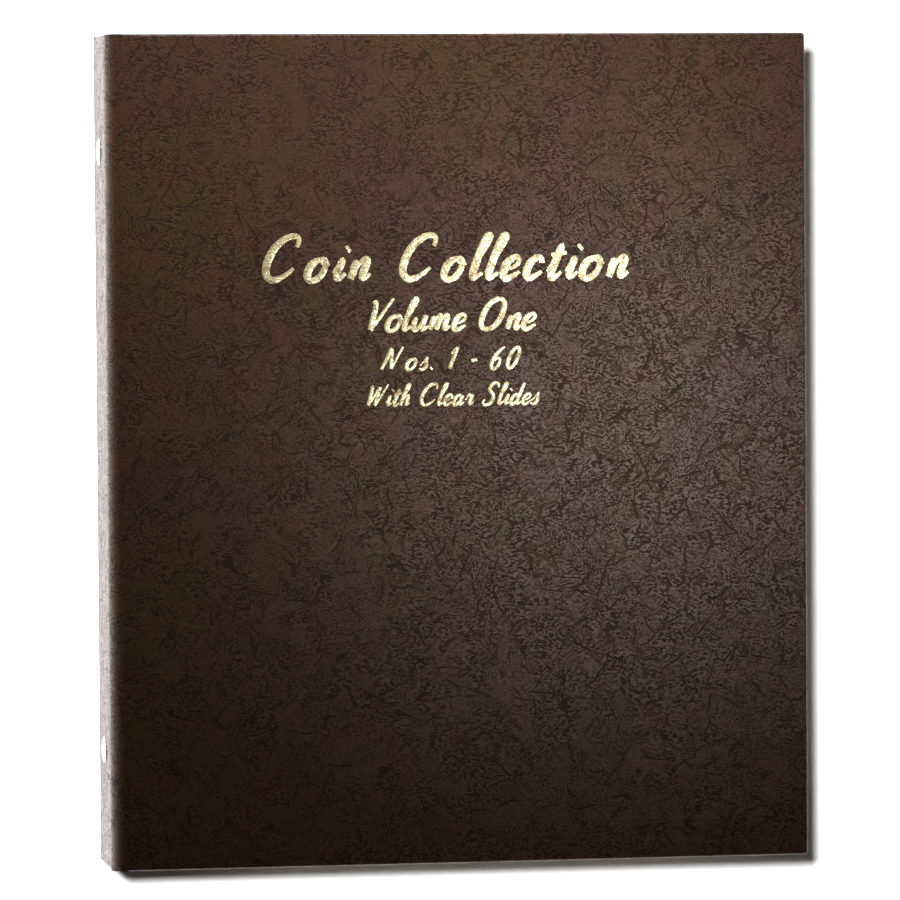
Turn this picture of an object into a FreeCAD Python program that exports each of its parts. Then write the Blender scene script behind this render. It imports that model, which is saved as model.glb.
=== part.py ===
import FreeCAD, Part
import os
import re
import Sketcher

# A ring album for coins, lying closed on its back cover. X runs from the spine to the fore-edge, Y to the
# head and Z up through the front cover. The origin is under the middle of the album's footprint.
# Lengths are millimetres.

os.makedirs("parts", exist_ok=True)
doc = FreeCAD.newDocument("coin_album")
sheet = doc.addObject("Spreadsheet::Sheet", "Sizes")

driving = {
    # case
    "album_width": 189,  # spine face to fore-edge
    "album_height": 222,  # tail to head
    "board_thickness": 2.4,
    "skin_thickness": 0.4,
    "lining_thickness": 0.4,
    "cover_corner": 1.6,  # rounding of each cover's fore-edge corners
    "turn_in_width": 15,  # leatherette folded over each edge onto the inside
    "hinge_round": 4.3,  # outer radius of the leatherette between spine and cover
    "hinge_strip_thickness": 0.6,
    "hinge_inset": 1.3,  # hinge axis below the outer faces
    # leaves
    "leaf_count": 5,
    "leaf_gap": 0.6,
    "leaf_edge_inset": 6,  # leaf edges inside the cover's fore-edge, head and tail
    "leaf_root": 22.5,  # ring centre to the stiff part of a leaf
    "leaf_corner": 3,
    "core_thickness": 2.6,
    "channel_depth": 0.6,
    "facing_thickness": 0.5,
    "column_count": 3,
    "row_count": 4,
    "coin_port_radius": 13.25,
    "window_radius": 13.8,
    "thumb_notch_radius": 7,
    # slides
    "slide_thickness": 0.3,
    "slide_width": 34,
    "slide_side_clearance": 0.3,
    "slide_stop": 3.5,  # solid strip at the closed end of each channel
    "slide_end_clearance": 0.3,
    "slide_corner": 2,
    # binding strips
    "strip_thickness": 0.8,
    "strip_step": 1.5,  # spacing of neighbouring strips where the rings pass
    "strip_edge": 4,  # ring centre to the strip's punched edge
    "strip_bend_start": 15,
    "strip_bend_end": 21.5,
    "strip_tongue": 6,  # depth of the strip in the leaf's edge
    "strip_hole_width": 5,
    "strip_hole_length": 8,
    "strip_hole_offset": 0.5,  # hole centre outside the ring's centreline
    # ring metal
    "ring_count": 3,
    "ring_radius": 9.5,
    "wire_radius": 1.1,
    "ring_foot": 3.25,  # middle of the housing to the foot of a ring half
    "housing_end_inset": 17,  # housing ends inside the album's head and tail
    "housing_width": 13,
    "housing_wall": 0.8,
    "housing_side": 3.2,
    "housing_rise": 4.4,
    "wire_slot_clearance": 0.4,
    "wire_slot_inner": 1.6,
    "ring_end_inset": 24,
    "rail_end_inset": 6.5,
    "rail_thickness": 0.8,
    "rail_lift": 1.1,
    "rail_side_clearance": 0.25,
    "rail_split": 0.2,
    # levers
    "pin_end_inset": 4,
    "pin_radius": 0.8,
    "pin_clearance": 0.04,
    "pin_height": 1.9,
    "lever_hub_radius": 1.4,
    "lever_thickness": 1.2,
    "lever_side_clearance": 0.3,
    "lever_reach": 6,
    "lever_lean": 3.5,
    "lever_foot_length": 3,
    "lever_foot_width": 2.4,
    "lever_foot_drop": 1,  # top of the foot below the pin's axis
    "lever_bay": 6,  # open roof at each end of the housing
    # rivets
    "rivet_end_inset": 14,
    "rivet_radius": 1.6,
    "rivet_clearance": 0.05,
    "rivet_rail_clearance": 0.8,
    "rivet_head_radius": 3.5,
    "rivet_head_height": 0.8,
    "rivet_edge_height": 0.25,
    "rivet_tail_radius": 2.6,
    "rivet_tail_height": 0.7,
}

derived = {
    "cover_thickness": "board_thickness + skin_thickness + lining_thickness",
    "leaf_thickness": "core_thickness + 2 * channel_depth + 2 * facing_thickness",
    "leaf_pitch": "leaf_thickness + leaf_gap",
    "album_thickness": "leaf_count * leaf_pitch + leaf_gap + 2 * cover_thickness",
    "middle": "album_thickness / 2",
    "spine_face": "-(album_width - rivet_head_height) / 2",
    "fore_edge": "spine_face + album_width",
    "spine_inside": "spine_face + cover_thickness",
    "cover_start": "spine_face + hinge_round",
    # The ring centre is as far from the spine's face as from the covers' faces, so the leaves
    # lie at one height on both sides when the album is open flat.
    "ring_centre": "spine_face + middle",
    "leaf_start": "ring_centre + leaf_root",
    "leaf_end": "fore_edge - leaf_edge_inset",
    "leaf_height": "album_height - 2 * leaf_edge_inset",
    "column_pitch": "(leaf_end - leaf_start) / column_count",
    "row_pitch": "leaf_height / row_count",
    "channel_width": "slide_width + 2 * slide_side_clearance",
    "channel_start": "leaf_start + slide_stop",
    "body_thickness": "core_thickness + 2 * channel_depth",
    "housing_length": "album_height - 2 * housing_end_inset",
    "half_housing": "housing_width / 2",
    "housing_crown": "housing_rise - housing_side",
    "crown_radius": "(half_housing * half_housing + housing_crown * housing_crown) / (2 * housing_crown)",
    "crown_centre": "spine_inside + housing_rise - crown_radius",
    "inner_half_housing": "half_housing - housing_wall",
    "inner_crown_radius": "crown_radius - housing_wall",
    "inner_shoulder": (
        "crown_centre + sqrt(inner_crown_radius * inner_crown_radius"
        " - inner_half_housing * inner_half_housing)"
    ),
    "ring_spacing": "(housing_length - 2 * ring_end_inset) / (ring_count - 1)",
    "rail_length": "housing_length - 2 * rail_end_inset",
    "rail_outer": "inner_half_housing - rail_side_clearance",
    "rail_inner": "rail_split / 2",
    "rail_top": "spine_inside + rail_lift + rail_thickness",
    "rivet_place": "housing_length / 2 - rivet_end_inset",
    "pin_place": "housing_length / 2 - pin_end_inset",
    "pin_across": "spine_inside + pin_height",
    # A ring half is an arc from the far point, then a straight leg that leaves the arc at its
    # tangent and runs to the foot on the rail.
    "foot_depth": "ring_centre - rail_top",
    "foot_square": "foot_depth * foot_depth + ring_foot * ring_foot",
    "leg_length": "sqrt(foot_square - ring_radius * ring_radius)",
    "tangent_depth": "(ring_radius * foot_depth - leg_length * ring_foot) * ring_radius / foot_square",
    "tangent_rise": "(ring_radius * ring_foot + leg_length * foot_depth) * ring_radius / foot_square",
}

for row, (alias, size) in enumerate([*driving.items(), *derived.items()], start=1):
    cell = f"B{row}"
    sheet.set(f"A{row}", alias)
    sheet.set(cell, f"={size}" if alias in derived else str(size))
    sheet.setAlias(cell, alias)
doc.recompute()

nodes = []


def bound(expression):
    # The same expression with every word naming a cell of the sheet.
    return re.sub(r"[a-z]\w*", lambda word: "Sizes." + word.group(), str(expression))


def value(expression):
    return float(nodes[-1].evalExpression(bound(expression)))


def new_body(name, flipped=False, **place):
    # A flipped body is turned half a turn about X, so that what is made facing up faces down.
    body = doc.addObject("PartDesign::Body", name)
    body.Label = name
    nodes.append(body)
    if flipped:
        half_turn = FreeCAD.Rotation(FreeCAD.Vector(1, 0, 0), 180)
        body.Placement = FreeCAD.Placement(FreeCAD.Vector(), half_turn)
    for axis, expression in place.items():
        body.setExpression(f"Placement.Base.{axis}", bound(expression))
    return body


def new_sketch(body, plane, lift=0):
    sketch = body.newObject("Sketcher::SketchObject", "outline")
    origin_plane = [f for f in body.Origin.OriginFeatures if f.Role == f"{plane}_Plane"][0]
    sketch.AttachmentSupport = (origin_plane, [""])
    sketch.MapMode = "FlatFace"
    sketch.setExpression("AttachmentOffset.Base.z", bound(lift))
    return sketch


def bind(sketch, kind, *where, expression):
    index = sketch.addConstraint(Sketcher.Constraint(kind, *where, value(expression)))
    sketch.setExpression(f"Constraints[{index}]", bound(expression))


def pin_point(sketch, edge, point, x, y):
    bind(sketch, "DistanceX", -1, 1, edge, point, expression=x)
    bind(sketch, "DistanceY", -1, 1, edge, point, expression=y)


def arc_geometry(start, end, centre, turn):
    circle = Part.Circle(centre, FreeCAD.Vector(0, 0, 1), (start - centre).Length)
    first, last = (start, end) if turn > 0 else (end, start)
    return Part.ArcOfCircle(circle, circle.parameter(first), circle.parameter(last))


def draw(sketch, corners, arcs=None, closed=True):
    # Straight edges between the corners. arcs gives the edges that are arcs instead: the edge's
    # number, then its centre and its turn, which is 1 anticlockwise or -1 clockwise.
    arcs = arcs or {}
    points = [FreeCAD.Vector(value(x), value(y), 0) for x, y in corners]
    edges = []
    for number in range(len(points) if closed else len(points) - 1):
        start = points[number]
        end = points[(number + 1) % len(points)]
        if number not in arcs:
            edges.append((sketch.addGeometry(Part.LineSegment(start, end)), 1, 2))
            continue
        x, y, turn = arcs[number]
        centre = FreeCAD.Vector(value(x), value(y), 0)
        edge = sketch.addGeometry(arc_geometry(start, end, centre, turn))
        edges.append((edge, 1, 2) if turn > 0 else (edge, 2, 1))
        chord = end - start
        if abs(chord.x) > abs(chord.y):
            bind(sketch, "DistanceY", -1, 1, edge, 3, expression=y)
        else:
            bind(sketch, "DistanceX", -1, 1, edge, 3, expression=x)
    for number, (edge, head, tail) in enumerate(edges):
        pin_point(sketch, edge, head, *corners[number])
        if closed or number + 1 < len(edges):
            following, next_head, _ = edges[(number + 1) % len(edges)]
            sketch.addConstraint(Sketcher.Constraint("Coincident", edge, tail, following, next_head))
        else:
            pin_point(sketch, edge, tail, *corners[number + 1])


def draw_rectangle(sketch, x_low, y_low, x_high, y_high):
    draw(sketch, [(x_low, y_low), (x_high, y_low), (x_high, y_high), (x_low, y_high)])


def draw_tab(sketch, x_low, y_low, x_high, y_high, corner):
    # A rectangle whose two corners at high X are rounded.
    inner = f"{x_high} - {corner}"
    bottom = f"{y_low} + {corner}"
    top = f"{y_high} - {corner}"
    corners = [(x_low, y_low), (inner, y_low), (x_high, bottom), (x_high, top), (inner, y_high), (x_low, y_high)]
    draw(sketch, corners, {1: (inner, bottom, 1), 3: (inner, top, 1)})


def draw_circle(sketch, x, y, radius):
    centre = FreeCAD.Vector(value(x), value(y), 0)
    edge = sketch.addGeometry(Part.Circle(centre, FreeCAD.Vector(0, 0, 1), value(radius)))
    pin_point(sketch, edge, 3, x, y)
    bind(sketch, "Radius", edge, expression=radius)


def solid_feature(body, kind, sketch, length, both_ways, backwards):
    feature = body.newObject(f"PartDesign::{kind}", kind)
    feature.Profile = sketch
    feature.setExpression("Length", bound(length))
    feature.Midplane = both_ways
    feature.Reversed = backwards
    return feature


def pad(body, sketch, length, both_ways=False, backwards=False):
    solid_feature(body, "Pad", sketch, length, both_ways, backwards)


def pocket(body, sketch, length, both_ways=False, backwards=False):
    doc.recompute()
    before = body.Shape.Volume
    solid_feature(body, "Pocket", sketch, length, both_ways, backwards)
    doc.recompute()
    if body.Shape.Volume > before - 0.01:
        raise RuntimeError(f"a pocket of {body.Label} removes nothing")


def spread(count, pitch):
    # Places of a centred row of things, as expressions.
    return [f"({number} - ({count} - 1) / 2) * {pitch}" for number in range(count)]


# The case. Each cover is made face down from its outer face at zero and its inside up. The board
# fills the skin, and the lining fills the window that the turned-in edges leave.
def make_cover(side, body_flipped, lift):
    place = {"flipped": body_flipped, "z": lift}
    edge_y = "album_height / 2"
    skin = new_body(f"{side}_leatherette", **place)
    outline = new_sketch(skin, "XY")
    draw_tab(outline, "cover_start", f"-{edge_y}", "fore_edge", edge_y, "cover_corner")
    pad(skin, outline, "cover_thickness")
    board_y = f"({edge_y} - skin_thickness)"
    board_end = "fore_edge - skin_thickness"
    hollow = new_sketch(skin, "XY", "skin_thickness")
    draw_rectangle(hollow, "cover_start - 1", f"-{board_y}", board_end, board_y)
    pocket(skin, hollow, "board_thickness", backwards=True)
    lining_y = f"({edge_y} - turn_in_width)"
    lining_end = "fore_edge - turn_in_width"
    window = new_sketch(skin, "XY", "skin_thickness + board_thickness")
    draw_rectangle(window, "cover_start - 1", f"-{lining_y}", lining_end, lining_y)
    pocket(skin, window, "lining_thickness + 1", backwards=True)

    board = new_body(f"{side}_board", **place)
    outline = new_sketch(board, "XY", "skin_thickness")
    draw_rectangle(outline, "cover_start", f"-{board_y}", board_end, board_y)
    pad(board, outline, "board_thickness")

    lining = new_body(f"{side}_lining", **place)
    outline = new_sketch(lining, "XY", "skin_thickness + board_thickness")
    draw_rectangle(outline, "cover_start", f"-{lining_y}", lining_end, lining_y)
    pad(lining, outline, "lining_thickness")


def drill_rivet_holes(body):
    holes = new_sketch(body, "YZ", "spine_face - 1")
    for side in ("-", ""):
        draw_circle(holes, f"{side}rivet_place", 0, "rivet_radius + rivet_clearance")
    pocket(body, holes, "cover_thickness + housing_rise + 2", backwards=True)


def make_spine():
    edge_y = "album_height / 2"
    half_width = "(middle - hinge_round)"
    skin = new_body("spine_leatherette", z="middle")
    outline = new_sketch(skin, "XY")
    draw_rectangle(outline, "spine_face", f"-{edge_y}", "spine_inside", edge_y)
    pad(skin, outline, f"2 * {half_width}", both_ways=True)
    board_y = f"({edge_y} - skin_thickness)"
    hollow = new_sketch(skin, "XY")
    board_inside = "spine_face + skin_thickness + board_thickness"
    draw_rectangle(hollow, "spine_face + skin_thickness", f"-{board_y}", board_inside, board_y)
    pocket(skin, hollow, f"2 * {half_width} + 2", both_ways=True)
    lining_y = f"({edge_y} - turn_in_width)"
    window = new_sketch(skin, "XY")
    draw_rectangle(window, board_inside, f"-{lining_y}", "spine_inside + 1", lining_y)
    pocket(skin, window, f"2 * {half_width} + 2", both_ways=True)
    drill_rivet_holes(skin)

    board = new_body("spine_board", z="middle")
    outline = new_sketch(board, "XY")
    draw_rectangle(outline, "spine_face + skin_thickness", f"-{board_y}", board_inside, board_y)
    pad(board, outline, f"2 * {half_width}", both_ways=True)
    drill_rivet_holes(board)

    lining = new_body("spine_lining", z="middle")
    outline = new_sketch(lining, "XY")
    draw_rectangle(outline, board_inside, f"-{lining_y}", "spine_inside", lining_y)
    pad(lining, outline, f"2 * {half_width}", both_ways=True)
    drill_rivet_holes(lining)


# The leatherette that joins a cover to the spine is a quarter of a tube along the album.
def make_hinge_strip(side, body_flipped, lift):
    strip = new_body(f"{side}_hinge_strip", flipped=body_flipped, z=lift)
    outline = new_sketch(strip, "XZ")
    outer = "hinge_round"
    inner = "(hinge_round - hinge_strip_thickness)"
    corners = [
        ("spine_face", outer),
        ("cover_start", 0),
        ("cover_start", "hinge_strip_thickness"),
        (f"cover_start - {inner}", outer),
    ]
    draw(outline, corners, {0: ("cover_start", outer, 1), 2: ("cover_start", outer, -1)})
    pad(strip, outline, "album_height", both_ways=True)


# The housing is a shallow arched channel, open to the spine. Slots let the rings' legs out, and its
# roof is open at both ends for the levers, which turn between its cheeks.
def make_housing():
    housing = new_body("ring_housing", z="middle")
    outline = new_sketch(housing, "XZ")
    shoulder = "spine_inside + housing_side"
    corners = [
        ("spine_inside", "half_housing"),
        ("spine_inside", "-half_housing"),
        (shoulder, "-half_housing"),
        (shoulder, "half_housing"),
    ]
    draw(outline, corners, {2: ("crown_centre", 0, 1)})
    pad(housing, outline, "housing_length", both_ways=True)
    hollow = new_sketch(housing, "XZ")
    corners = [
        ("spine_inside - 1", "inner_half_housing"),
        ("spine_inside - 1", "-inner_half_housing"),
        ("inner_shoulder", "-inner_half_housing"),
        ("inner_shoulder", "inner_half_housing"),
    ]
    draw(hollow, corners, {2: ("crown_centre", 0, 1)})
    pocket(housing, hollow, "housing_length + 2", both_ways=True)

    slot_half = "(wire_radius + wire_slot_clearance)"
    for side in ("-", ""):
        slots = new_sketch(housing, "YZ", "spine_inside + rail_lift")
        for place in spread(int(sheet.ring_count), "ring_spacing"):
            low_z, high_z = sorted((f"{side}(half_housing + 1)", f"{side}wire_slot_inner"), key=value)
            draw_rectangle(slots, f"{place} - {slot_half}", low_z, f"{place} + {slot_half}", high_z)
        pocket(housing, slots, "housing_rise + 1", backwards=True)

    bays = new_sketch(housing, "XY")
    bay_start = "(housing_length / 2 - lever_bay)"
    bay_end = "(housing_length / 2 + 1)"
    bay_floor = "spine_inside + rail_lift"
    bay_roof = "spine_inside + housing_rise + 1"
    draw_rectangle(bays, bay_floor, bay_start, bay_roof, bay_end)
    draw_rectangle(bays, bay_floor, f"-{bay_end}", bay_roof, f"-{bay_start}")
    pocket(housing, bays, "2 * inner_half_housing", both_ways=True)

    pin_holes = new_sketch(housing, "XY")
    for side in ("-", ""):
        draw_circle(pin_holes, "pin_across", f"{side}pin_place", "pin_radius + pin_clearance / 2")
    pocket(housing, pin_holes, "housing_width + 2", both_ways=True)
    drill_rivet_holes(housing)


def make_rail(name, body_flipped):
    rail = new_body(name, flipped=body_flipped, z="middle")
    outline = new_sketch(rail, "XY", "rail_inner")
    draw_rectangle(outline, "spine_inside + rail_lift", "-rail_length / 2", "rail_top", "rail_length / 2")
    pad(rail, outline, "rail_outer - rail_inner")
    notches = new_sketch(rail, "YZ", "spine_inside")
    for side in ("-", ""):
        draw_circle(notches, f"{side}rivet_place", 0, "rivet_radius + rivet_rail_clearance")
    pocket(rail, notches, "rail_lift + rail_thickness + 1", backwards=True)


def make_ring_half(name, body_flipped, place):
    half = new_body(name, flipped=body_flipped, z="middle")
    section = new_sketch(half, "XY")
    draw_circle(section, "ring_centre + ring_radius", place, "wire_radius")
    route = new_sketch(half, "XZ", f"-({place})")
    overshoot = "(1 + 2 * wire_radius / leg_length)"
    corners = [
        ("ring_centre + ring_radius", 0),
        ("ring_centre - tangent_depth", "tangent_rise"),
        (
            f"ring_centre - tangent_depth - (foot_depth - tangent_depth) * {overshoot}",
            f"tangent_rise - (tangent_rise - ring_foot) * {overshoot}",
        ),
    ]
    draw(route, corners, {0: ("ring_centre", 0, 1)}, closed=False)
    pipe = half.newObject("PartDesign::AdditivePipe", "wire")
    pipe.Profile = section
    pipe.Spine = (route, [])
    trim = new_sketch(half, "XZ", f"-({place})")
    draw_rectangle(trim, "rail_top - 4 * wire_radius", -2, "rail_top", "ring_radius")
    pocket(half, trim, "4 * wire_radius", both_ways=True)


# A lever is a plate that leans outwards from its hub, with a foot that reaches under the rails.
def make_lever(name, end):
    lever = new_body(name, z="middle")
    pin = f"{end} * pin_place"
    hub_and_blade = new_sketch(lever, "XY")
    draw_circle(hub_and_blade, "pin_across", pin, "lever_hub_radius")
    width = "2 * (inner_half_housing - lever_side_clearance)"
    pad(lever, hub_and_blade, width, both_ways=True)
    blade = new_sketch(lever, "XY")
    half_blade = "lever_thickness / 2"
    corners = [
        ("pin_across", f"{pin} - {half_blade}"),
        ("pin_across + lever_reach", f"{pin} + {end} * lever_lean - {half_blade}"),
        ("pin_across + lever_reach", f"{pin} + {end} * lever_lean + {half_blade}"),
        ("pin_across", f"{pin} + {half_blade}"),
    ]
    draw(blade, corners)
    pad(lever, blade, width, both_ways=True)
    foot = new_sketch(lever, "XY")
    foot_top = "pin_across - lever_foot_drop"
    foot_bottom = "pin_across - lever_hub_radius"
    along = sorted((pin, f"{pin} - {end} * lever_foot_length"), key=value)
    draw_rectangle(foot, foot_bottom, along[0], foot_top, along[1])
    pad(lever, foot, "lever_foot_width", both_ways=True)
    bore = new_sketch(lever, "XY")
    draw_circle(bore, "pin_across", pin, "pin_radius + pin_clearance")
    pocket(lever, bore, "housing_width", both_ways=True)


def make_lever_pins():
    pins = new_body("lever_pins", z="middle")
    outline = new_sketch(pins, "XY")
    for side in ("-", ""):
        draw_circle(outline, "pin_across", f"{side}pin_place", "pin_radius")
    pad(pins, outline, "housing_width", both_ways=True)


# Each rivet has a low domed head on the spine, a shaft through spine and housing, and a flat tail.
def make_rivets():
    rivets = new_body("rivets", z="middle")
    for side in ("-", ""):
        outline = new_sketch(rivets, "XZ", f"{side}rivet_place")
        head = "(spine_face - rivet_head_height)"
        dome = "(rivet_head_height - rivet_edge_height)"
        dome_radius = f"((rivet_head_radius * rivet_head_radius + {dome} * {dome}) / (2 * {dome}))"
        tail = "(spine_inside + housing_rise)"
        corners = [
            (head, 0),
            (f"{tail} + rivet_tail_height", 0),
            (f"{tail} + rivet_tail_height", "rivet_tail_radius"),
            (tail, "rivet_tail_radius"),
            (tail, "rivet_radius"),
            ("spine_face", "rivet_radius"),
            ("spine_face", "rivet_head_radius"),
            ("spine_face - rivet_edge_height", "rivet_head_radius"),
        ]
        draw(outline, corners, {7: (f"{head} + {dome_radius}", 0, 1)})
        turned = rivets.newObject("PartDesign::Revolution", "turned")
        turned.Profile = outline
        turned.ReferenceAxis = (outline, ["H_Axis"])
        turned.Angle = 360


def coin_places():
    for x in spread(int(sheet.column_count), "column_pitch"):
        for y in spread(int(sheet.row_count), "row_pitch"):
            yield f"(leaf_start + leaf_end) / 2 + {x}", y


def make_core(name, lift):
    core = new_body(name, z=lift)
    outline = new_sketch(core, "XY")
    draw_tab(outline, "leaf_start", "-leaf_height / 2", "leaf_end", "leaf_height / 2", "leaf_corner")
    for x, y in coin_places():
        draw_circle(outline, x, y, "coin_port_radius")
    pad(core, outline, "body_thickness", both_ways=True)
    for side in (1, -1):
        channels = new_sketch(core, "XY", f"{side} * body_thickness / 2")
        for y in spread(int(sheet.row_count), "row_pitch"):
            low_y = f"{y} - channel_width / 2"
            draw_rectangle(channels, "channel_start", low_y, "leaf_end + 1", f"{low_y} + channel_width")
        pocket(core, channels, "channel_depth", backwards=side < 0)
    slot = new_sketch(core, "XY")
    half_leaf = "leaf_height / 2"
    draw_rectangle(slot, "leaf_start - 1", f"-{half_leaf} - 1", "leaf_start + strip_tongue", f"{half_leaf} + 1")
    pocket(core, slot, "strip_thickness", both_ways=True)


def make_facing(name, body_flipped, lift):
    facing = new_body(name, flipped=body_flipped, z=lift)
    outline = new_sketch(facing, "XY", "body_thickness / 2")
    draw_tab(outline, "leaf_start", "-leaf_height / 2", "leaf_end", "leaf_height / 2", "leaf_corner")
    for x, y in coin_places():
        draw_circle(outline, x, y, "window_radius")
    pad(facing, outline, "facing_thickness")
    notches = new_sketch(facing, "XY", "body_thickness / 2")
    for y in spread(int(sheet.row_count), "row_pitch"):
        draw_circle(notches, "leaf_end", y, "thumb_notch_radius")
    pocket(facing, notches, "facing_thickness", backwards=True)


def make_slides(name, body_flipped, lift, rows):
    # The slides float half way between the core and the facing.
    slides = new_body(name, flipped=body_flipped, z=lift)
    under = "core_thickness / 2 + (channel_depth - slide_thickness) / 2"
    outline = new_sketch(slides, "XY", under)
    for y in rows:
        low_y = f"{y} - slide_width / 2"
        start = "channel_start + slide_end_clearance"
        draw_tab(outline, start, low_y, "leaf_end", f"{low_y} + slide_width", "slide_corner")
    pad(slides, outline, "slide_thickness")


# A binding strip lies flat where the rings pass, then bends up or down to its leaf and ends in it.
def make_binding_strip(name, order):
    strip = new_body(name, z="middle")
    at_rings = f"{order} * strip_step"
    at_leaf = f"{order} * leaf_pitch"
    half = "strip_thickness / 2"
    run = [
        ("ring_centre + strip_edge", at_rings),
        ("ring_centre + strip_bend_start", at_rings),
        ("ring_centre + strip_bend_end", at_leaf),
        ("leaf_start + strip_tongue", at_leaf),
    ]
    outline = new_sketch(strip, "XZ")
    below = [(x, f"{z} - {half}") for x, z in run]
    above = [(x, f"{z} + {half}") for x, z in reversed(run)]
    draw(outline, below + above)
    pad(strip, outline, "leaf_height", both_ways=True)
    holes = new_sketch(strip, "XY", at_rings)
    hole_radius = "strip_hole_width / 2"
    reach = "(strip_hole_length - strip_hole_width) / 2"
    centre = "ring_centre + ring_radius + strip_hole_offset"
    for y in spread(int(sheet.ring_count), "ring_spacing"):
        corners = [
            (f"{centre} - {reach}", f"{y} - {hole_radius}"),
            (f"{centre} + {reach}", f"{y} - {hole_radius}"),
            (f"{centre} + {reach}", f"{y} + {hole_radius}"),
            (f"{centre} - {reach}", f"{y} + {hole_radius}"),
        ]
        draw(holes, corners, {1: (f"{centre} + {reach}", y, 1), 3: (f"{centre} - {reach}", y, 1)})
    pocket(strip, holes, "3 * strip_thickness", both_ways=True)


make_cover("back", False, 0)
make_cover("front", True, "album_thickness")
make_spine()
make_hinge_strip("back", False, 0)
make_hinge_strip("front", True, "album_thickness")
make_housing()
make_rail("upper_rail", False)
make_rail("lower_rail", True)
for number, place in enumerate(spread(int(sheet.ring_count), "ring_spacing"), start=1):
    make_ring_half(f"ring_{number}_upper", False, place)
    make_ring_half(f"ring_{number}_lower", True, f"-({place})")
make_lever("head_lever", 1)
make_lever("tail_lever", -1)
make_lever_pins()
make_rivets()

rows = spread(int(sheet.row_count), "row_pitch")
for number in range(1, int(sheet.leaf_count) + 1):
    order = (sheet.leaf_count + 1) / 2 - number
    lift = f"middle + {order} * leaf_pitch"
    make_core(f"leaf_{number}_core", lift)
    make_binding_strip(f"leaf_{number}_binding_strip", order)
    for side, flipped in (("front", False), ("back", True)):
        make_facing(f"leaf_{number}_{side}_facing", flipped, lift)
        if number > 1:
            make_slides(f"leaf_{number}_{side}_slides", flipped, lift, rows)
            continue
        for row, y in enumerate(rows, start=1):
            row_y = f"-({y})" if flipped else y
            make_slides(f"leaf_{number}_{side}_slide_{row}", flipped, lift, [row_y])

doc.recompute()
for item in doc.Objects:
    if {"Invalid", "Error"} & set(item.State):
        raise RuntimeError(f"{item.Label} is {item.State}")
for body in nodes:
    if body.Shape.isNull() or not body.Shape.isValid() or not body.Shape.Solids:
        raise RuntimeError(f"{body.Label} has no valid solid")
for body in nodes:
    body.Shape.exportStep(f"parts/{body.Label}.step")
print(len(nodes), "nodes written")
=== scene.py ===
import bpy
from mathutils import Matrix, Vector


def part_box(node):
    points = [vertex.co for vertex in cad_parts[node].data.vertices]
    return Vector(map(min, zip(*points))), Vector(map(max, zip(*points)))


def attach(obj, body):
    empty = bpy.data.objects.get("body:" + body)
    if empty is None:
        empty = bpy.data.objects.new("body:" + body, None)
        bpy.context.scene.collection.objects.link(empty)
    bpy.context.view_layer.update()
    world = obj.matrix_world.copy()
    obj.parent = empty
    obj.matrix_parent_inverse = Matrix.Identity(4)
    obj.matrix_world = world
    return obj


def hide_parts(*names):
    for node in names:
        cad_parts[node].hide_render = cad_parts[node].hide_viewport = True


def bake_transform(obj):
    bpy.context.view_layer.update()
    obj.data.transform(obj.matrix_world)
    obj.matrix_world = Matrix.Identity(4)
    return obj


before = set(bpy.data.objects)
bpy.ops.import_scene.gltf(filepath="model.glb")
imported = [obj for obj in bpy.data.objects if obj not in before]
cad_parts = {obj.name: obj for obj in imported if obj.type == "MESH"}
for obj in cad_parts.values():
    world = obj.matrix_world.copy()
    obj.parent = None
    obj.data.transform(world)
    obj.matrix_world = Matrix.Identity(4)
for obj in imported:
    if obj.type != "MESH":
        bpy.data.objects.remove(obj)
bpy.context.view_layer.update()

import math

import bpy
from mathutils import Matrix, Vector

mm = 0.001
slack = 1e-5       # metres, for picking edges by where they lie
together = 1e-6    # metres, points closer than this count as one
leafCount = 5
rowCount = 4
columnCount = 3
ringCount = 3


# ---- small workshop helpers

def putDown():
    # leave edit mode and let go of everything
    if bpy.context.object and bpy.context.object.mode != "OBJECT":
        bpy.ops.object.mode_set(mode="OBJECT")
    bpy.ops.object.select_all(action="DESELECT")


def pickUp(*pieces):
    putDown()
    for piece in pieces:
        piece.select_set(True)
    bpy.context.view_layer.objects.active = pieces[0]


def settle(piece):
    # place, turn and size go into the mesh
    pickUp(piece)
    bpy.ops.object.transform_apply(location=True, rotation=True, scale=True)
    return piece


def newBlock(name, low, high):
    putDown()
    low, high = Vector(low), Vector(high)
    bpy.ops.mesh.primitive_cube_add(size=1, location=(low + high) / 2)
    block = bpy.context.object
    block.name = name
    block.scale = high - low
    return settle(block)


def newRod(name, base, tip, radius, sides=96):
    putDown()
    base, tip = Vector(base), Vector(tip)
    along = tip - base
    turn = along.to_track_quat("Z", "Y").to_euler()
    bpy.ops.mesh.primitive_cylinder_add(
        vertices=sides, radius=radius, depth=along.length, location=(base + tip) / 2, rotation=turn
    )
    rod = bpy.context.object
    rod.name = name
    return settle(rod)


def joinPieces(name, pieces):
    pickUp(*pieces)
    if len(pieces) > 1:
        bpy.ops.object.join()
    joined = bpy.context.object
    joined.name = name
    return joined


def applyModifier(piece, kind, **settings):
    pickUp(piece)
    modifier = piece.modifiers.new(kind.title(), kind)
    for setting, value in settings.items():
        setattr(modifier, setting, value)
    bpy.ops.object.modifier_apply(modifier=modifier.name)
    return piece


def cutAway(piece, cutter):
    applyModifier(piece, "BOOLEAN", operation="DIFFERENCE", object=cutter, solver="EXACT")
    bpy.data.objects.remove(cutter)
    return piece


def easeEdges(piece, width, segments=3, angle=40):
    applyModifier(
        piece, "BEVEL", width=width, segments=segments,
        limit_method="ANGLE", angle_limit=math.radians(angle),
    )
    return piece


def smoothOver(piece, angle=35):
    pickUp(piece)
    bpy.ops.object.shade_smooth_by_angle(angle=math.radians(angle))
    # large flat faces stay evenly lit next to their eased edges
    return applyModifier(piece, "WEIGHTED_NORMAL", weight=100, keep_sharp=True)


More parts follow.
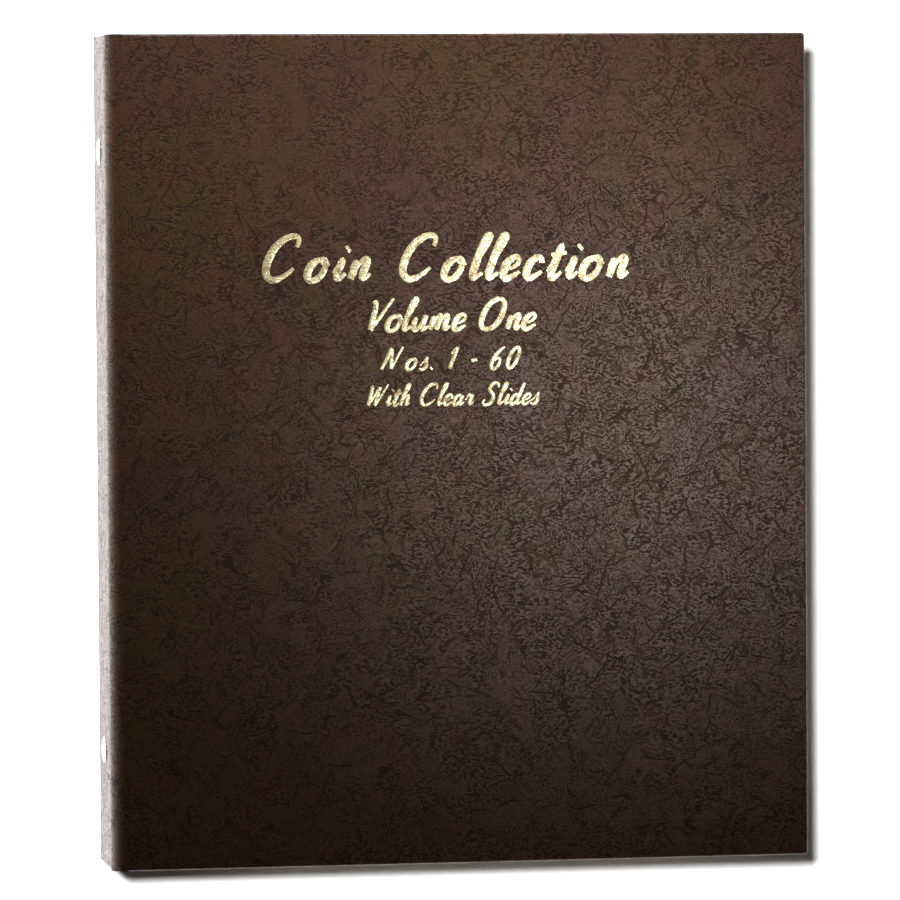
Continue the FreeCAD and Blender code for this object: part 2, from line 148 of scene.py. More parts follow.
def roundEdges(piece, wanted, radius, segments):
    # bevel just the edges that wanted(start, end) picks
    pickUp(piece)
    bpy.ops.object.mode_set(mode="EDIT")
    bpy.ops.mesh.select_mode(type="EDGE")
    bpy.ops.mesh.select_all(action="DESELECT")
    bpy.ops.object.mode_set(mode="OBJECT")
    points = piece.data.vertices
    for edge in piece.data.edges:
        start, end = (points[index].co for index in edge.vertices)
        edge.select = wanted(start, end)
    bpy.ops.object.mode_set(mode="EDIT")
    bpy.ops.mesh.bevel(offset=radius, segments=segments, affect="EDGES")
    bpy.ops.object.mode_set(mode="OBJECT")
    return piece


def faceOutwards(piece):
    pickUp(piece)
    bpy.ops.object.mode_set(mode="EDIT")
    bpy.ops.mesh.select_all(action="SELECT")
    bpy.ops.mesh.remove_doubles(threshold=together)
    bpy.ops.mesh.normals_make_consistent(inside=False)
    bpy.ops.object.mode_set(mode="OBJECT")
    return piece


def copyPiece(piece, name, shift):
    pickUp(piece)
    bpy.ops.object.duplicate(linked=False)
    copy = bpy.context.object
    copy.name = name
    copy.location = shift
    return settle(copy)


def dress(piece, material):
    piece.data.materials.clear()
    piece.data.materials.append(material)
    return piece


def isUpright(start, end):
    return abs(start.x - end.x) < together and abs(start.y - end.y) < together


# ---- node helpers for the finishes

def newMaterial(name):
    material = bpy.data.materials.new(name)
    material.use_nodes = True
    tree = material.node_tree
    return material, tree, tree.nodes["Principled BSDF"]


def addNode(tree, kind, **settings):
    node = tree.nodes.new(kind)
    for setting, value in settings.items():
        setattr(node, setting, value)
    return node


def link(tree, source, target):
    tree.links.new(source, target)


def feed(tree, socket, value):
    if isinstance(value, bpy.types.NodeSocket):
        tree.links.new(value, socket)
    else:
        socket.default_value = value


def maths(tree, operation, first, second=None, third=None):
    node = addNode(tree, "ShaderNodeMath", operation=operation)
    for socket, value in zip(node.inputs, (first, second, third)):
        if value is not None:
            feed(tree, socket, value)
    return node.outputs[0]


def noise(tree, where, scale, detail=2.0, roughness=0.5):
    node = addNode(tree, "ShaderNodeTexNoise")
    link(tree, where, node.inputs["Vector"])
    node.inputs["Scale"].default_value = scale
    node.inputs["Detail"].default_value = detail
    node.inputs["Roughness"].default_value = roughness
    return node


def turned(tree, where, angle=0.0, stretch=(1, 1, 1), shift=(0, 0, 0)):
    node = addNode(tree, "ShaderNodeMapping")
    link(tree, where, node.inputs["Vector"])
    node.inputs["Rotation"].default_value = (0, 0, math.radians(angle))
    node.inputs["Scale"].default_value = stretch
    node.inputs["Location"].default_value = shift
    return node.outputs[0]


def ramp(tree, value, low, high, lowTo=0.0, highTo=1.0):
    node = addNode(tree, "ShaderNodeMapRange", clamp=True, interpolation_type="SMOOTHSTEP")
    feed(tree, node.inputs["Value"], value)
    node.inputs["From Min"].default_value = low
    node.inputs["From Max"].default_value = high
    node.inputs["To Min"].default_value = lowTo
    node.inputs["To Max"].default_value = highTo
    return node.outputs["Result"]


def mixColours(tree, share, first, second):
    node = addNode(tree, "ShaderNodeMix", data_type="RGBA")
    feed(tree, node.inputs["Factor"], share)
    feed(tree, node.inputs["A"], first)
    feed(tree, node.inputs["B"], second)
    return node.outputs["Result"]


def raiseBy(tree, height, distance):
    node = addNode(tree, "ShaderNodeBump")
    node.inputs["Strength"].default_value = 1.0
    node.inputs["Distance"].default_value = distance
    link(tree, height, node.inputs["Height"])
    return node.outputs["Normal"]


def newEffect(name, inputs, outputs):
    group = bpy.data.node_groups.new(name, "ShaderNodeTree")
    for label, kind, value in inputs:
        socket = group.interface.new_socket(name=label, in_out="INPUT", socket_type=kind)
        if value is not None:
            socket.default_value = value
    for label, kind in outputs:
        group.interface.new_socket(name=label, in_out="OUTPUT", socket_type=kind)
    return group, addNode(group, "NodeGroupInput"), addNode(group, "NodeGroupOutput")


def useEffect(tree, group, **values):
    node = addNode(tree, "ShaderNodeGroup", node_tree=group)
    for label, value in values.items():
        feed(tree, node.inputs[label], value)
    return node


def objectPlace(tree):
    return addNode(tree, "ShaderNodeTexCoord").outputs["Object"]


# Crushed leather grain: small pits that lean one way within a patch, straight short cracks and
# a fine pebble between them; the finishes paint shade into the pits and cracks. Lengths are metres, so scales are
# counts to the metre.
grainLook = {
    "pitScale": 2300,
    "crackLayers": ((105, 0.9), (150, 0.8), (210, 0.7)),   # cells to the metre, strength
    "crackWidth": 0.00024,
}


def addCracks(tree, place, scale, strength, shift):
    # each cell holds one straight crack, cut from a thin sheet that leans at random through its middle
    cells = addNode(tree, "ShaderNodeTexVoronoi", feature="F1")
    link(tree, turned(tree, place, shift=(shift, 0, 0)), cells.inputs["Vector"])
    cells.inputs["Scale"].default_value = scale
    inside = addNode(tree, "ShaderNodeVectorMath", operation="SUBTRACT")
    link(tree, turned(tree, place, shift=(shift, 0, 0)), inside.inputs[0])
    link(tree, cells.outputs["Position"], inside.inputs[1])
    lean = addNode(tree, "ShaderNodeVectorMath", operation="SUBTRACT")
    link(tree, cells.outputs["Color"], lean.inputs[0])
    lean.inputs[1].default_value = (0.5, 0.5, 0.5)
    straight = addNode(tree, "ShaderNodeVectorMath", operation="NORMALIZE")
    link(tree, lean.outputs[0], straight.inputs[0])
    across = addNode(tree, "ShaderNodeVectorMath", operation="DOT_PRODUCT")
    link(tree, inside.outputs[0], across.inputs[0])
    link(tree, straight.outputs[0], across.inputs[1])
    away = addNode(tree, "ShaderNodeVectorMath", operation="LENGTH")
    link(tree, inside.outputs[0], away.inputs[0])
    width = grainLook["crackWidth"]
    reach = ramp(tree, away.outputs["Value"], 0.15 / scale, 0.62 / scale, 1.0, 0.0)
    offLine = maths(tree, "DIVIDE", maths(tree, "ABSOLUTE", across.outputs["Value"]), reach)
    line = ramp(tree, offLine, width * 0.45, width * 1.25, strength, 0.0)
    return maths(tree, "MULTIPLY", line, ramp(tree, reach, 0.0, 0.3))


def makeCrushedGrain():
    group, given, result = newEffect(
        "crushedGrain",
        [("Place", "NodeSocketVector", None)],
        [("Height", "NodeSocketFloat"), ("Crease", "NodeSocketFloat"), ("Patch", "NodeSocketFloat")],
    )
    place = given.outputs["Place"]
    bend = noise(group, place, 160, detail=2)
    centred = addNode(group, "ShaderNodeVectorMath", operation="SUBTRACT")
    link(group, bend.outputs["Color"], centred.inputs[0])
    centred.inputs[1].default_value = (0.5, 0.5, 0.5)
    pushed = addNode(group, "ShaderNodeVectorMath", operation="MULTIPLY_ADD")
    link(group, centred.outputs[0], pushed.inputs[0])
    pushed.inputs[1].default_value = (0.004, 0.004, 0.004)
    link(group, place, pushed.inputs[2])
    bent = pushed.outputs[0]

    pits = ramp(group, noise(group, bent, grainLook["pitScale"], detail=1.0).outputs["Fac"], 0.44, 0.51, 1.0, 0.0)
    for number, angle in enumerate((-60, 35, 80)):
        where = turned(group, bent, angle=angle, stretch=(0.45, 1, 1), shift=(number, 0, 0))
        wave = noise(group, where, grainLook["pitScale"] * 0.9, detail=1.0).outputs["Fac"]
        patch = noise(group, turned(group, place, shift=(3 * number, 1, 2)), 75, detail=1).outputs["Fac"]
        share = ramp(group, patch, 0.50, 0.58)
        leaning = ramp(group, wave, 0.45, 0.52, 1.0, 0.0)
        blend = addNode(group, "ShaderNodeMix", data_type="FLOAT")
        link(group, share, blend.inputs["Factor"])
        link(group, pits, blend.inputs["A"])
        link(group, leaning, blend.inputs["B"])
        pits = blend.outputs["Result"]
    wide = noise(group, place, 190, detail=2).outputs["Fac"]
    pits = maths(group, "MULTIPLY", pits, ramp(group, wide, 0.35, 0.55, 0.5, 1.0))

    cracks = None
    for number, (scale, strength) in enumerate(grainLook["crackLayers"]):
        share = addCracks(group, bent, scale, strength, 3 + number)
        cracks = share if cracks is None else maths(group, "MAXIMUM", cracks, share)

    pebble = noise(group, place, 4200, detail=1).outputs["Fac"]
    height = maths(group, "MULTIPLY", pebble, 0.35)
    height = maths(group, "MULTIPLY_ADD", pits, -0.55, height)
    height = maths(group, "MULTIPLY_ADD", cracks, -1.0, height)
    link(group, height, result.inputs["Height"])
    link(group, maths(group, "MAXIMUM", maths(group, "MULTIPLY", pits, 0.9), cracks), result.inputs["Crease"])
    link(group, noise(group, bent, 85, detail=3, roughness=0.6).outputs["Fac"], result.inputs["Patch"])
    return group


crushedGrain = makeCrushedGrain()

leatheretteLook = {
    "redBrown": (0.110, 0.050, 0.026, 1),
    "oliveBrown": (0.098, 0.054, 0.024, 1),
    "plumBrown": (0.100, 0.048, 0.030, 1),
    "paintedCreaseShade": (0.012, 0.005, 0.002, 1),
    "roughness": 0.33,
    "gloss": 0.2,
    "depth": 0.000045,
}


def makeLeatherette():
    look = leatheretteLook
    material, tree, shader = newMaterial("crushedLeatherette")
    place = objectPlace(tree)
    grain = useEffect(tree, crushedGrain, Place=place)
    patch = grain.outputs["Patch"]
    brown = mixColours(tree, ramp(tree, patch, 0.40, 0.55), look["redBrown"], look["oliveBrown"])
    wide = noise(tree, place, 26, detail=2).outputs["Fac"]
    brown = mixColours(tree, ramp(tree, wide, 0.45, 0.62, 0.0, 0.8), brown, look["plumBrown"])
    # painted shade: the pits and cracks are darkened to near black
    brown = mixColours(tree, maths(tree, "MULTIPLY", grain.outputs["Crease"], 0.82), brown, look["paintedCreaseShade"])
    link(tree, brown, shader.inputs["Base Color"])
    rough = maths(tree, "MULTIPLY_ADD", grain.outputs["Crease"], 0.32, look["roughness"])
    rough = maths(tree, "MULTIPLY_ADD", patch, 0.05, rough)
    link(tree, rough, shader.inputs["Roughness"])
    shader.inputs["Specular IOR Level"].default_value = look["gloss"]
    link(tree, raiseBy(tree, grain.outputs["Height"], look["depth"]), shader.inputs["Normal"])
    return material


foilLook = {
    "gold": (0.98, 0.85, 0.50, 1),
    "wornGoldAndCreaseShade": (0.30, 0.20, 0.07, 1),
    "roughness": 0.24,
}


def makeFoil():
    look = foilLook
    material, tree, shader = newMaterial("goldFoil")
    place = objectPlace(tree)
    grain = useEffect(tree, crushedGrain, Place=place)
    worn = noise(tree, place, 420, detail=3, roughness=0.7).outputs["Fac"]
    share = maths(tree, "MULTIPLY", ramp(tree, worn, 0.50, 0.66), 0.7)
    # darker where the foil is worn, and painted shade darkening it in the creases
    share = maths(tree, "MAXIMUM", share, maths(tree, "MULTIPLY", grain.outputs["Crease"], 0.5))
    link(tree, mixColours(tree, share, look["gold"], look["wornGoldAndCreaseShade"]), shader.inputs["Base Color"])
    shader.inputs["Metallic"].default_value = 0.55
    link(tree, maths(tree, "MULTIPLY_ADD", share, 0.35, look["roughness"]), shader.inputs["Roughness"])
    link(tree, raiseBy(tree, grain.outputs["Height"], 0.00007), shader.inputs["Normal"])
    return material


# Linen embossing: two crossed sets of threads.
def makeLinenWeave():
    group, given, result = newEffect(
        "linenWeave",
        [("Place", "NodeSocketVector", None), ("Threads", "NodeSocketFloat", 1400.0)],
        [("Height", "NodeSocketFloat"), ("Slub", "NodeSocketFloat")],
    )
    place = given.outputs["Place"]
    slub = noise(group, place, 260, detail=3, roughness=0.6).outputs["Fac"]
    parts = addNode(group, "ShaderNodeSeparateXYZ")
    link(group, place, parts.inputs[0])
    threads = []
    for axis in ("X", "Y"):
        wobble = maths(group, "MULTIPLY_ADD", slub, 0.0012, parts.outputs[axis])
        phase = maths(group, "MULTIPLY", wobble, maths(group, "MULTIPLY", given.outputs["Threads"], math.tau / 2))
        threads.append(maths(group, "ABSOLUTE", maths(group, "SINE", phase)))
    weave = maths(group, "MAXIMUM", threads[0], threads[1])
    link(group, maths(group, "MULTIPLY_ADD", slub, 0.4, weave), result.inputs["Height"])
    link(group, slub, result.inputs["Slub"])
    return group


linenWeave = makeLinenWeave()


def makeLinen(name, dark, light, roughness, depth, threads):
    material, tree, shader = newMaterial(name)
    weave = useEffect(tree, linenWeave, Place=objectPlace(tree), Threads=threads)
    # painted light and shade: the raised threads are coloured lighter and the hollows between them darker
    share = ramp(tree, weave.outputs["Height"], 0.55, 1.25)
    tone = mixColours(tree, share, dark, light)
    link(tree, mixColours(tree, ramp(tree, weave.outputs["Slub"], 0.35, 0.7, 0.0, 0.35), tone, dark),
         shader.inputs["Base Color"])
    link(tree, maths(tree, "MULTIPLY_ADD", weave.outputs["Slub"], 0.15, roughness), shader.inputs["Roughness"])
    link(tree, raiseBy(tree, weave.outputs["Height"], depth), shader.inputs["Normal"])
    return material


# Pressed fibres, for board and leaf paper.
def makeFibres():
    group, given, result = newEffect(
        "pressedFibres",
        [("Place", "NodeSocketVector", None)],
        [("Height", "NodeSocketFloat"), ("Fleck", "NodeSocketFloat")],
    )
    place = given.outputs["Place"]
    strands = noise(group, turned(group, place, angle=20, stretch=(0.25, 1, 1)), 1500, detail=3, roughness=0.65)
    crossing = noise(group, turned(group, place, angle=-50, stretch=(0.25, 1, 1)), 1900, detail=2, roughness=0.6)
    height = maths(group, "ADD", strands.outputs["Fac"], crossing.outputs["Fac"])
    link(group, height, result.inputs["Height"])
    fleck = noise(group, place, 700, detail=4, roughness=0.75).outputs["Fac"]
    link(group, ramp(group, fleck, 0.52, 0.72), result.inputs["Fleck"])
    return group


pressedFibres = makeFibres()


def makeBoard(name, pale, dark, roughness, layers=0.0):
    # layers draws the plies seen on a cut edge, counted across the thickness
    material, tree, shader = newMaterial(name)
    place = objectPlace(tree)
    fibres = useEffect(tree, pressedFibres, Place=place)
    tone = mixColours(tree, maths(tree, "MULTIPLY", fibres.outputs["Fleck"], 0.45), pale, dark)
    if layers:
        parts = addNode(tree, "ShaderNodeSeparateXYZ")
        link(tree, place, parts.inputs[0])
        wave = maths(tree, "SINE", maths(tree, "MULTIPLY", parts.outputs["Z"], layers * math.tau))
        tone = mixColours(tree, ramp(tree, wave, 0.2, 1.0, 0.0, 0.4), tone, dark)
    link(tree, tone, shader.inputs["Base Color"])
    link(tree, maths(tree, "MULTIPLY_ADD", fibres.outputs["Fleck"], 0.1, roughness), shader.inputs["Roughness"])
    link(tree, raiseBy(tree, fibres.outputs["Height"], 0.00003), shader.inputs["Normal"])
    return material


# Hairlines and faint handling marks on plated and rolled metal.
def makeHairlines():
    group, given, result = newEffect(
        "hairlines",
        [("Place", "NodeSocketVector", None)],
        [("Height", "NodeSocketFloat"), ("Dull", "NodeSocketFloat")],
    )
    place = given.outputs["Place"]
    along = noise(group, turned(group, place, stretch=(1, 0.02, 1)), 5200, detail=2, roughness=0.6)
    link(group, along.outputs["Fac"], result.inputs["Height"])
    smears = noise(group, place, 190, detail=4, roughness=0.65).outputs["Fac"]
    link(group, ramp(group, smears, 0.42, 0.75), result.inputs["Dull"])
    return group


hairlines = makeHairlines()


def makeMetal(name, bright, dull, roughness, lines):
    material, tree, shader = newMaterial(name)
    marks = useEffect(tree, hairlines, Place=objectPlace(tree))
    share = maths(tree, "MULTIPLY", marks.outputs["Dull"], 0.6)
    link(tree, mixColours(tree, share, bright, dull), shader.inputs["Base Color"])
    shader.inputs["Metallic"].default_value = 1.0
    link(tree, maths(tree, "MULTIPLY_ADD", marks.outputs["Dull"], 0.18, roughness), shader.inputs["Roughness"])
    link(tree, raiseBy(tree, marks.outputs["Height"], lines), shader.inputs["Normal"])
    return material


def makeClearSlide():
    material, tree, shader = newMaterial("clearAcetate")
    place = objectPlace(tree)
    # thin film: mostly see-through, a little milkier where it is scuffed
    shader.inputs["Base Color"].default_value = (0.55, 0.57, 0.58, 1)
    shader.inputs["IOR"].default_value = 1.45
    scuffs = noise(tree, turned(tree, place, angle=4, stretch=(0.05, 1, 1)), 900, detail=3, roughness=0.7)
    link(tree, ramp(tree, scuffs.outputs["Fac"], 0.5, 0.75, 0.08, 0.22), shader.inputs["Roughness"])
    link(tree, ramp(tree, scuffs.outputs["Fac"], 0.35, 0.75, 0.06, 0.14), shader.inputs["Alpha"])
    ripple = noise(tree, place, 35, detail=1).outputs["Fac"]
    link(tree, raiseBy(tree, ripple, 0.0002), shader.inputs["Normal"])
    return material


leatherette = makeLeatherette()
goldFoil = makeFoil()
liningPaper = makeLinen("liningPaper", (0.030, 0.019, 0.013, 1), (0.090, 0.060, 0.042, 1), 0.62, 0.00006, 1300.0)
stripCloth = makeLinen("bindingCloth", (0.008, 0.007, 0.006, 1), (0.035, 0.030, 0.026, 1), 0.5, 0.00008, 1700.0)
greyboard = makeBoard("greyboard", (0.34, 0.32, 0.28, 1), (0.14, 0.12, 0.10, 1), 0.85, layers=1800)
leafCard = makeBoard("leafCard", (0.66, 0.63, 0.56, 1), (0.40, 0.36, 0.30, 1), 0.8, layers=2400)
leafPaper = makeBoard("leafPaper", (0.105, 0.064, 0.042, 1), (0.055, 0.034, 0.024, 1), 0.55)
nickel = makeMetal("nickelPlate", (0.78, 0.76, 0.71, 1), (0.50, 0.48, 0.44, 1), 0.16, 0.000004)
springSteel = makeMetal("springSteel", (0.50, 0.50, 0.51, 1), (0.28, 0.28, 0.29, 1), 0.30, 0.000012)
clearAcetate = makeClearSlide()
print("finishes ready")


# ---- the case

coverLook = {
    "edgeRound": 0.75 * mm,      # the board edge as felt through the leatherette
    "cornerRound": 0.9 * mm,
    "foldRound": 0.12 * mm,      # rim of the turned-in leatherette
    "mitreWidth": 0.25 * mm,     # seam where two turn-ins meet at a corner
    "mitreDepth": 0.15 * mm,
}


def makeCover(side):
    look = coverLook
    low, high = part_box(f"{side}_leatherette")
    liningLow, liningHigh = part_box(f"{side}_lining")
    skin = newBlock(f"{side}CoverSkin", low, high)
    atForeEdge = high.x - slack
    roundEdges(skin, lambda a, b: isUpright(a, b) and a.x > atForeEdge, look["cornerRound"], 6)
    atHinge = low.x + slack
    roundEdges(
        skin,
        lambda a, b: not isUpright(a, b) and max(a.x, b.x) > atHinge,
        look["edgeRound"], 4,
    )
    outwards = 1 if side == "front" else -1
    innerFace = low.z if side == "front" else high.z
    liningFloor = liningHigh.z if side == "front" else liningLow.z
    beyond = innerFace - outwards * mm
    cutterLow = (low.x - mm, liningLow.y, min(liningFloor, beyond))
    cutterHigh = (liningHigh.x, liningHigh.y, max(liningFloor, beyond))
    cutAway(skin, newBlock("liningWindow", cutterLow, cutterHigh))
    for end in (-1, 1):
        inner = Vector((liningHigh.x, end * liningHigh.y, innerFace))
        outer = Vector((high.x, end * high.y, innerFace))
        seam = newBlock("mitreSeam", (-0.5, -0.5, -0.5), (0.5, 0.5, 0.5))
        seam.scale = ((outer - inner).length, look["mitreWidth"], 2 * look["mitreDepth"])
        seam.rotation_euler = (0, 0, math.atan2(outer.y - inner.y, outer.x - inner.x))
        seam.location = (inner + outer) / 2
        cutAway(skin, settle(seam))
    easeEdges(skin, look["foldRound"], segments=2, angle=60)
    smoothOver(dress(skin, leatherette))
    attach(skin, f"{side}_cover")
    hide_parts(f"{side}_leatherette")


def makeSpine():
    low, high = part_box("spine_leatherette")
    liningLow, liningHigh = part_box("spine_lining")
    skin = newBlock("spineSkin", low, high)
    atEnd = high.y - slack
    roundEdges(
        skin,
        lambda a, b: min(abs(a.y), abs(b.y)) > atEnd and abs(a.x - b.x) < together,
        coverLook["edgeRound"], 4,
    )
    cutterLow = (liningLow.x, liningLow.y, low.z - mm)
    cutterHigh = (high.x + mm, liningHigh.y, high.z + mm)
    cutAway(skin, newBlock("liningWindow", cutterLow, cutterHigh))
    easeEdges(skin, coverLook["foldRound"], segments=2, angle=60)
    smoothOver(dress(skin, leatherette))
    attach(skin, "spine")
    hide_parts("spine_leatherette")


hingeLook = {
    "thickness": 0.6 * mm,
    "steps": 18,
}


def makeHingeStrip(side):
    # a strip's cross-section is spun a quarter turn, from the spine round to the cover
    look = hingeLook
    low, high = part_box(f"{side}_hinge_strip")
    towardsTop = side == "front"
    pivotZ = low.z if towardsTop else high.z
    centre = Vector((high.x, 0, pivotZ))
    putDown()
    bpy.ops.mesh.primitive_plane_add(size=1, location=(low.x + look["thickness"] / 2, 0, pivotZ))
    strip = bpy.context.object
    strip.name = f"{side}HingeStrip"
    strip.scale = (look["thickness"], high.y - low.y, 1)
    settle(strip)
    bpy.ops.object.mode_set(mode="EDIT")
    bpy.ops.mesh.select_all(action="SELECT")
    quarter = -math.pi / 2 if towardsTop else math.pi / 2
    bpy.ops.mesh.spin(steps=look["steps"], angle=quarter, center=centre, axis=(0, 1, 0))
    bpy.ops.object.mode_set(mode="OBJECT")
    faceOutwards(strip)
    smoothOver(dress(strip, leatherette), 50)
    if towardsTop:
        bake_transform(strip)
    else:
        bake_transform(strip)
    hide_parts(f"{side}_hinge_strip")


for side in ("front", "back"):
    makeCover(side)
    makeHingeStrip(side)
    dress(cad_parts[f"{side}_lining"], liningPaper)
    dress(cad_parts[f"{side}_board"], greyboard)
makeSpine()
dress(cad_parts["spine_lining"], liningPaper)
dress(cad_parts["spine_board"], greyboard)
print("case ready")


# ---- gold lettering, drawn with a broad pen
# Each letter is one or more strokes of (across, up, weight), on a base line at 0 with capitals 1 high.
# The last number is how far the pen moves on to the next letter.

penLetters = {
    "C": ([[(0.62, 0.76, 0.5), (0.66, 0.98, 0.6), (0.36, 1.04, 0.8), (0.06, 0.74, 1), (0.02, 0.20, 1),
            (0.26, -0.06, 0.9), (0.56, 0.06, 0.6), (0.70, 0.26, 0.4)]], 0.74),
    "N": ([[(0.00, 0.00, 0.8), (0.10, 0.50, 0.9), (0.16, 0.96, 1)],
           [(0.16, 0.96, 1), (0.30, 0.50, 1), (0.44, 0.02, 1)],
           [(0.44, 0.02, 0.7), (0.54, 0.50, 0.6), (0.66, 1.02, 0.6)]], 0.76),
    "O": ([[(0.36, 1.02, 0.7), (0.06, 0.84, 1), (0.00, 0.16, 1), (0.28, -0.06, 0.8), (0.62, 0.14, 1),
            (0.68, 0.80, 1), (0.40, 1.06, 0.7), (0.28, 0.86, 0.4)]], 0.78),
    "S": ([[(0.56, 0.80, 0.5), (0.54, 1.02, 0.7), (0.22, 1.04, 0.9), (0.12, 0.68, 1), (0.46, 0.46, 1),
            (0.48, 0.06, 1), (0.18, -0.08, 0.8), (-0.02, 0.08, 0.6), (0.06, 0.24, 0.5)]], 0.62),
    "V": ([[(0.00, 0.84, 0.6), (0.08, 1.00, 0.8), (0.14, 0.50, 1), (0.18, 0.00, 1)],
           [(0.18, 0.00, 0.7), (0.40, 0.50, 0.6), (0.60, 1.02, 0.5)]], 0.58),
    "W": ([[(0.00, 0.86, 0.6), (0.08, 1.00, 0.9), (0.10, 0.45, 1), (0.14, 0.00, 1)],
           [(0.14, 0.00, 0.7), (0.30, 0.50, 0.6), (0.44, 0.88, 0.7)],
           [(0.44, 0.88, 0.9), (0.42, 0.40, 1), (0.46, 0.00, 1)],
           [(0.46, 0.00, 0.7), (0.66, 0.50, 0.6), (0.80, 1.02, 0.5)]], 0.82),
    "a": ([[(0.36, 0.38, 0.6), (0.22, 0.50, 0.7), (0.03, 0.34, 1), (0.04, 0.02, 1), (0.20, -0.06, 0.8),
            (0.32, 0.18, 0.5), (0.38, 0.44, 0.7)],
           [(0.38, 0.44, 0.9), (0.33, 0.12, 1), (0.40, -0.06, 0.8), (0.54, 0.12, 0.4)]], 0.50),
    "c": ([[(0.34, 0.34, 0.7), (0.30, 0.50, 0.7), (0.06, 0.42, 1), (0.01, 0.08, 1), (0.18, -0.07, 0.9),
            (0.40, 0.14, 0.4)]], 0.37),
    "d": ([[(0.36, 0.38, 0.6), (0.22, 0.50, 0.7), (0.03, 0.34, 1), (0.04, 0.02, 1), (0.20, -0.06, 0.8),
            (0.32, 0.18, 0.5), (0.40, 0.60, 0.7), (0.42, 1.00, 0.8)],
           [(0.42, 1.00, 0.9), (0.37, 0.50, 1), (0.33, 0.12, 1), (0.40, -0.06, 0.8), (0.54, 0.12, 0.4)]], 0.50),
    "e": ([[(0.00, 0.16, 0.35), (0.26, 0.22, 0.5), (0.36, 0.40, 0.6), (0.22, 0.52, 0.7), (0.03, 0.36, 1),
            (0.03, 0.04, 1), (0.20, -0.06, 0.9), (0.42, 0.14, 0.4)]], 0.39),
    "h": ([[(0.00, 0.15, 0.35), (0.20, 0.66, 0.5), (0.26, 1.00, 0.6), (0.12, 1.02, 0.8), (0.09, 0.50, 1),
            (0.07, 0.00, 1)],
           [(0.08, 0.18, 0.4), (0.22, 0.50, 0.6), (0.36, 0.44, 0.9), (0.31, 0.15, 1), (0.36, -0.05, 0.8),
            (0.50, 0.12, 0.4)]], 0.47),
    "i": ([[(0.00, 0.14, 0.35), (0.10, 0.40, 0.6), (0.13, 0.46, 0.9), (0.09, 0.14, 1), (0.14, -0.05, 0.8),
            (0.30, 0.12, 0.4)],
           [(0.15, 0.68, 1), (0.18, 0.71, 1), (0.20, 0.73, 0.8)]], 0.27),
    "l": ([[(0.00, 0.14, 0.35), (0.20, 0.66, 0.5), (0.26, 1.00, 0.6), (0.12, 1.03, 0.8), (0.09, 0.60, 1),
            (0.07, 0.12, 1), (0.13, -0.06, 0.8), (0.30, 0.12, 0.4)]], 0.27),
    "m": ([[(0.00, 0.24, 0.35), (0.08, 0.46, 0.8), (0.09, 0.22, 1), (0.07, 0.00, 0.9)],
           [(0.08, 0.18, 0.4), (0.20, 0.50, 0.6), (0.32, 0.44, 0.9), (0.29, 0.20, 1), (0.28, 0.00, 0.9)],
           [(0.29, 0.18, 0.4), (0.42, 0.50, 0.6), (0.55, 0.44, 0.9), (0.51, 0.15, 1), (0.56, -0.05, 0.8),
            (0.70, 0.12, 0.4)]], 0.68),
    "n": ([[(0.00, 0.24, 0.35), (0.08, 0.46, 0.8), (0.09, 0.22, 1), (0.07, 0.00, 0.9)],
           [(0.08, 0.18, 0.4), (0.22, 0.50, 0.6), (0.36, 0.44, 0.9), (0.31, 0.15, 1), (0.36, -0.05, 0.8),
            (0.50, 0.12, 0.4)]], 0.47),
    "o": ([[(0.24, 0.46, 0.6), (0.04, 0.42, 1), (0.00, 0.06, 1), (0.18, -0.07, 0.8), (0.38, 0.06, 0.8),
            (0.40, 0.40, 0.7), (0.24, 0.52, 0.5), (0.26, 0.34, 0.35), (0.48, 0.34, 0.35)]], 0.44),
    "r": ([[(0.00, 0.22, 0.35), (0.10, 0.54, 0.8), (0.14, 0.40, 0.5), (0.30, 0.46, 0.8), (0.22, 0.15, 1),
            (0.28, -0.05, 0.8), (0.42, 0.12, 0.4)]], 0.38),
    "s": ([[(0.00, 0.14, 0.35), (0.18, 0.42, 0.5), (0.22, 0.56, 0.6), (0.22, 0.36, 0.8), (0.32, 0.10, 1),
            (0.14, -0.08, 0.8), (0.00, 0.04, 0.5)]], 0.35),
    "t": ([[(0.00, 0.14, 0.35), (0.14, 0.52, 0.6), (0.17, 0.84, 0.9), (0.12, 0.34, 1), (0.10, 0.02, 0.9),
            (0.20, -0.07, 0.7), (0.34, 0.12, 0.4)],
           [(-0.02, 0.52, 0.5), (0.14, 0.56, 0.7), (0.32, 0.58, 0.5)]], 0.31),
    "u": ([[(0.00, 0.20, 0.35), (0.08, 0.46, 0.8), (0.05, 0.10, 1), (0.18, -0.07, 0.8), (0.32, 0.16, 0.6),
            (0.38, 0.46, 0.8)],
           [(0.38, 0.46, 0.9), (0.34, 0.12, 1), (0.41, -0.05, 0.8), (0.54, 0.12, 0.4)]], 0.50),
    "0": ([[(0.26, 0.98, 0.7), (0.04, 0.80, 1), (0.02, 0.16, 1), (0.20, -0.06, 0.8), (0.42, 0.16, 1),
            (0.44, 0.80, 1), (0.28, 1.00, 0.7), (0.20, 0.94, 0.6)]], 0.54),
    "1": ([[(0.02, 0.70, 0.5), (0.12, 0.82, 0.7), (0.22, 0.98, 0.8)],
           [(0.22, 0.98, 0.9), (0.19, 0.50, 1), (0.16, 0.00, 1)]], 0.36),
    "6": ([[(0.42, 0.98, 0.5), (0.16, 0.76, 0.9), (0.02, 0.26, 1), (0.12, -0.06, 0.9), (0.38, 0.00, 0.9),
            (0.42, 0.42, 0.7), (0.20, 0.50, 0.5), (0.08, 0.28, 0.5)]], 0.52),
    "-": ([[(0.02, 0.36, 0.8), (0.14, 0.37, 0.9), (0.26, 0.39, 0.8)]], 0.30),
    ".": ([[(0.03, 0.02, 0.9), (0.06, 0.03, 1), (0.08, 0.05, 0.9)]], 0.16),
    " ": ([], 0.36),
}

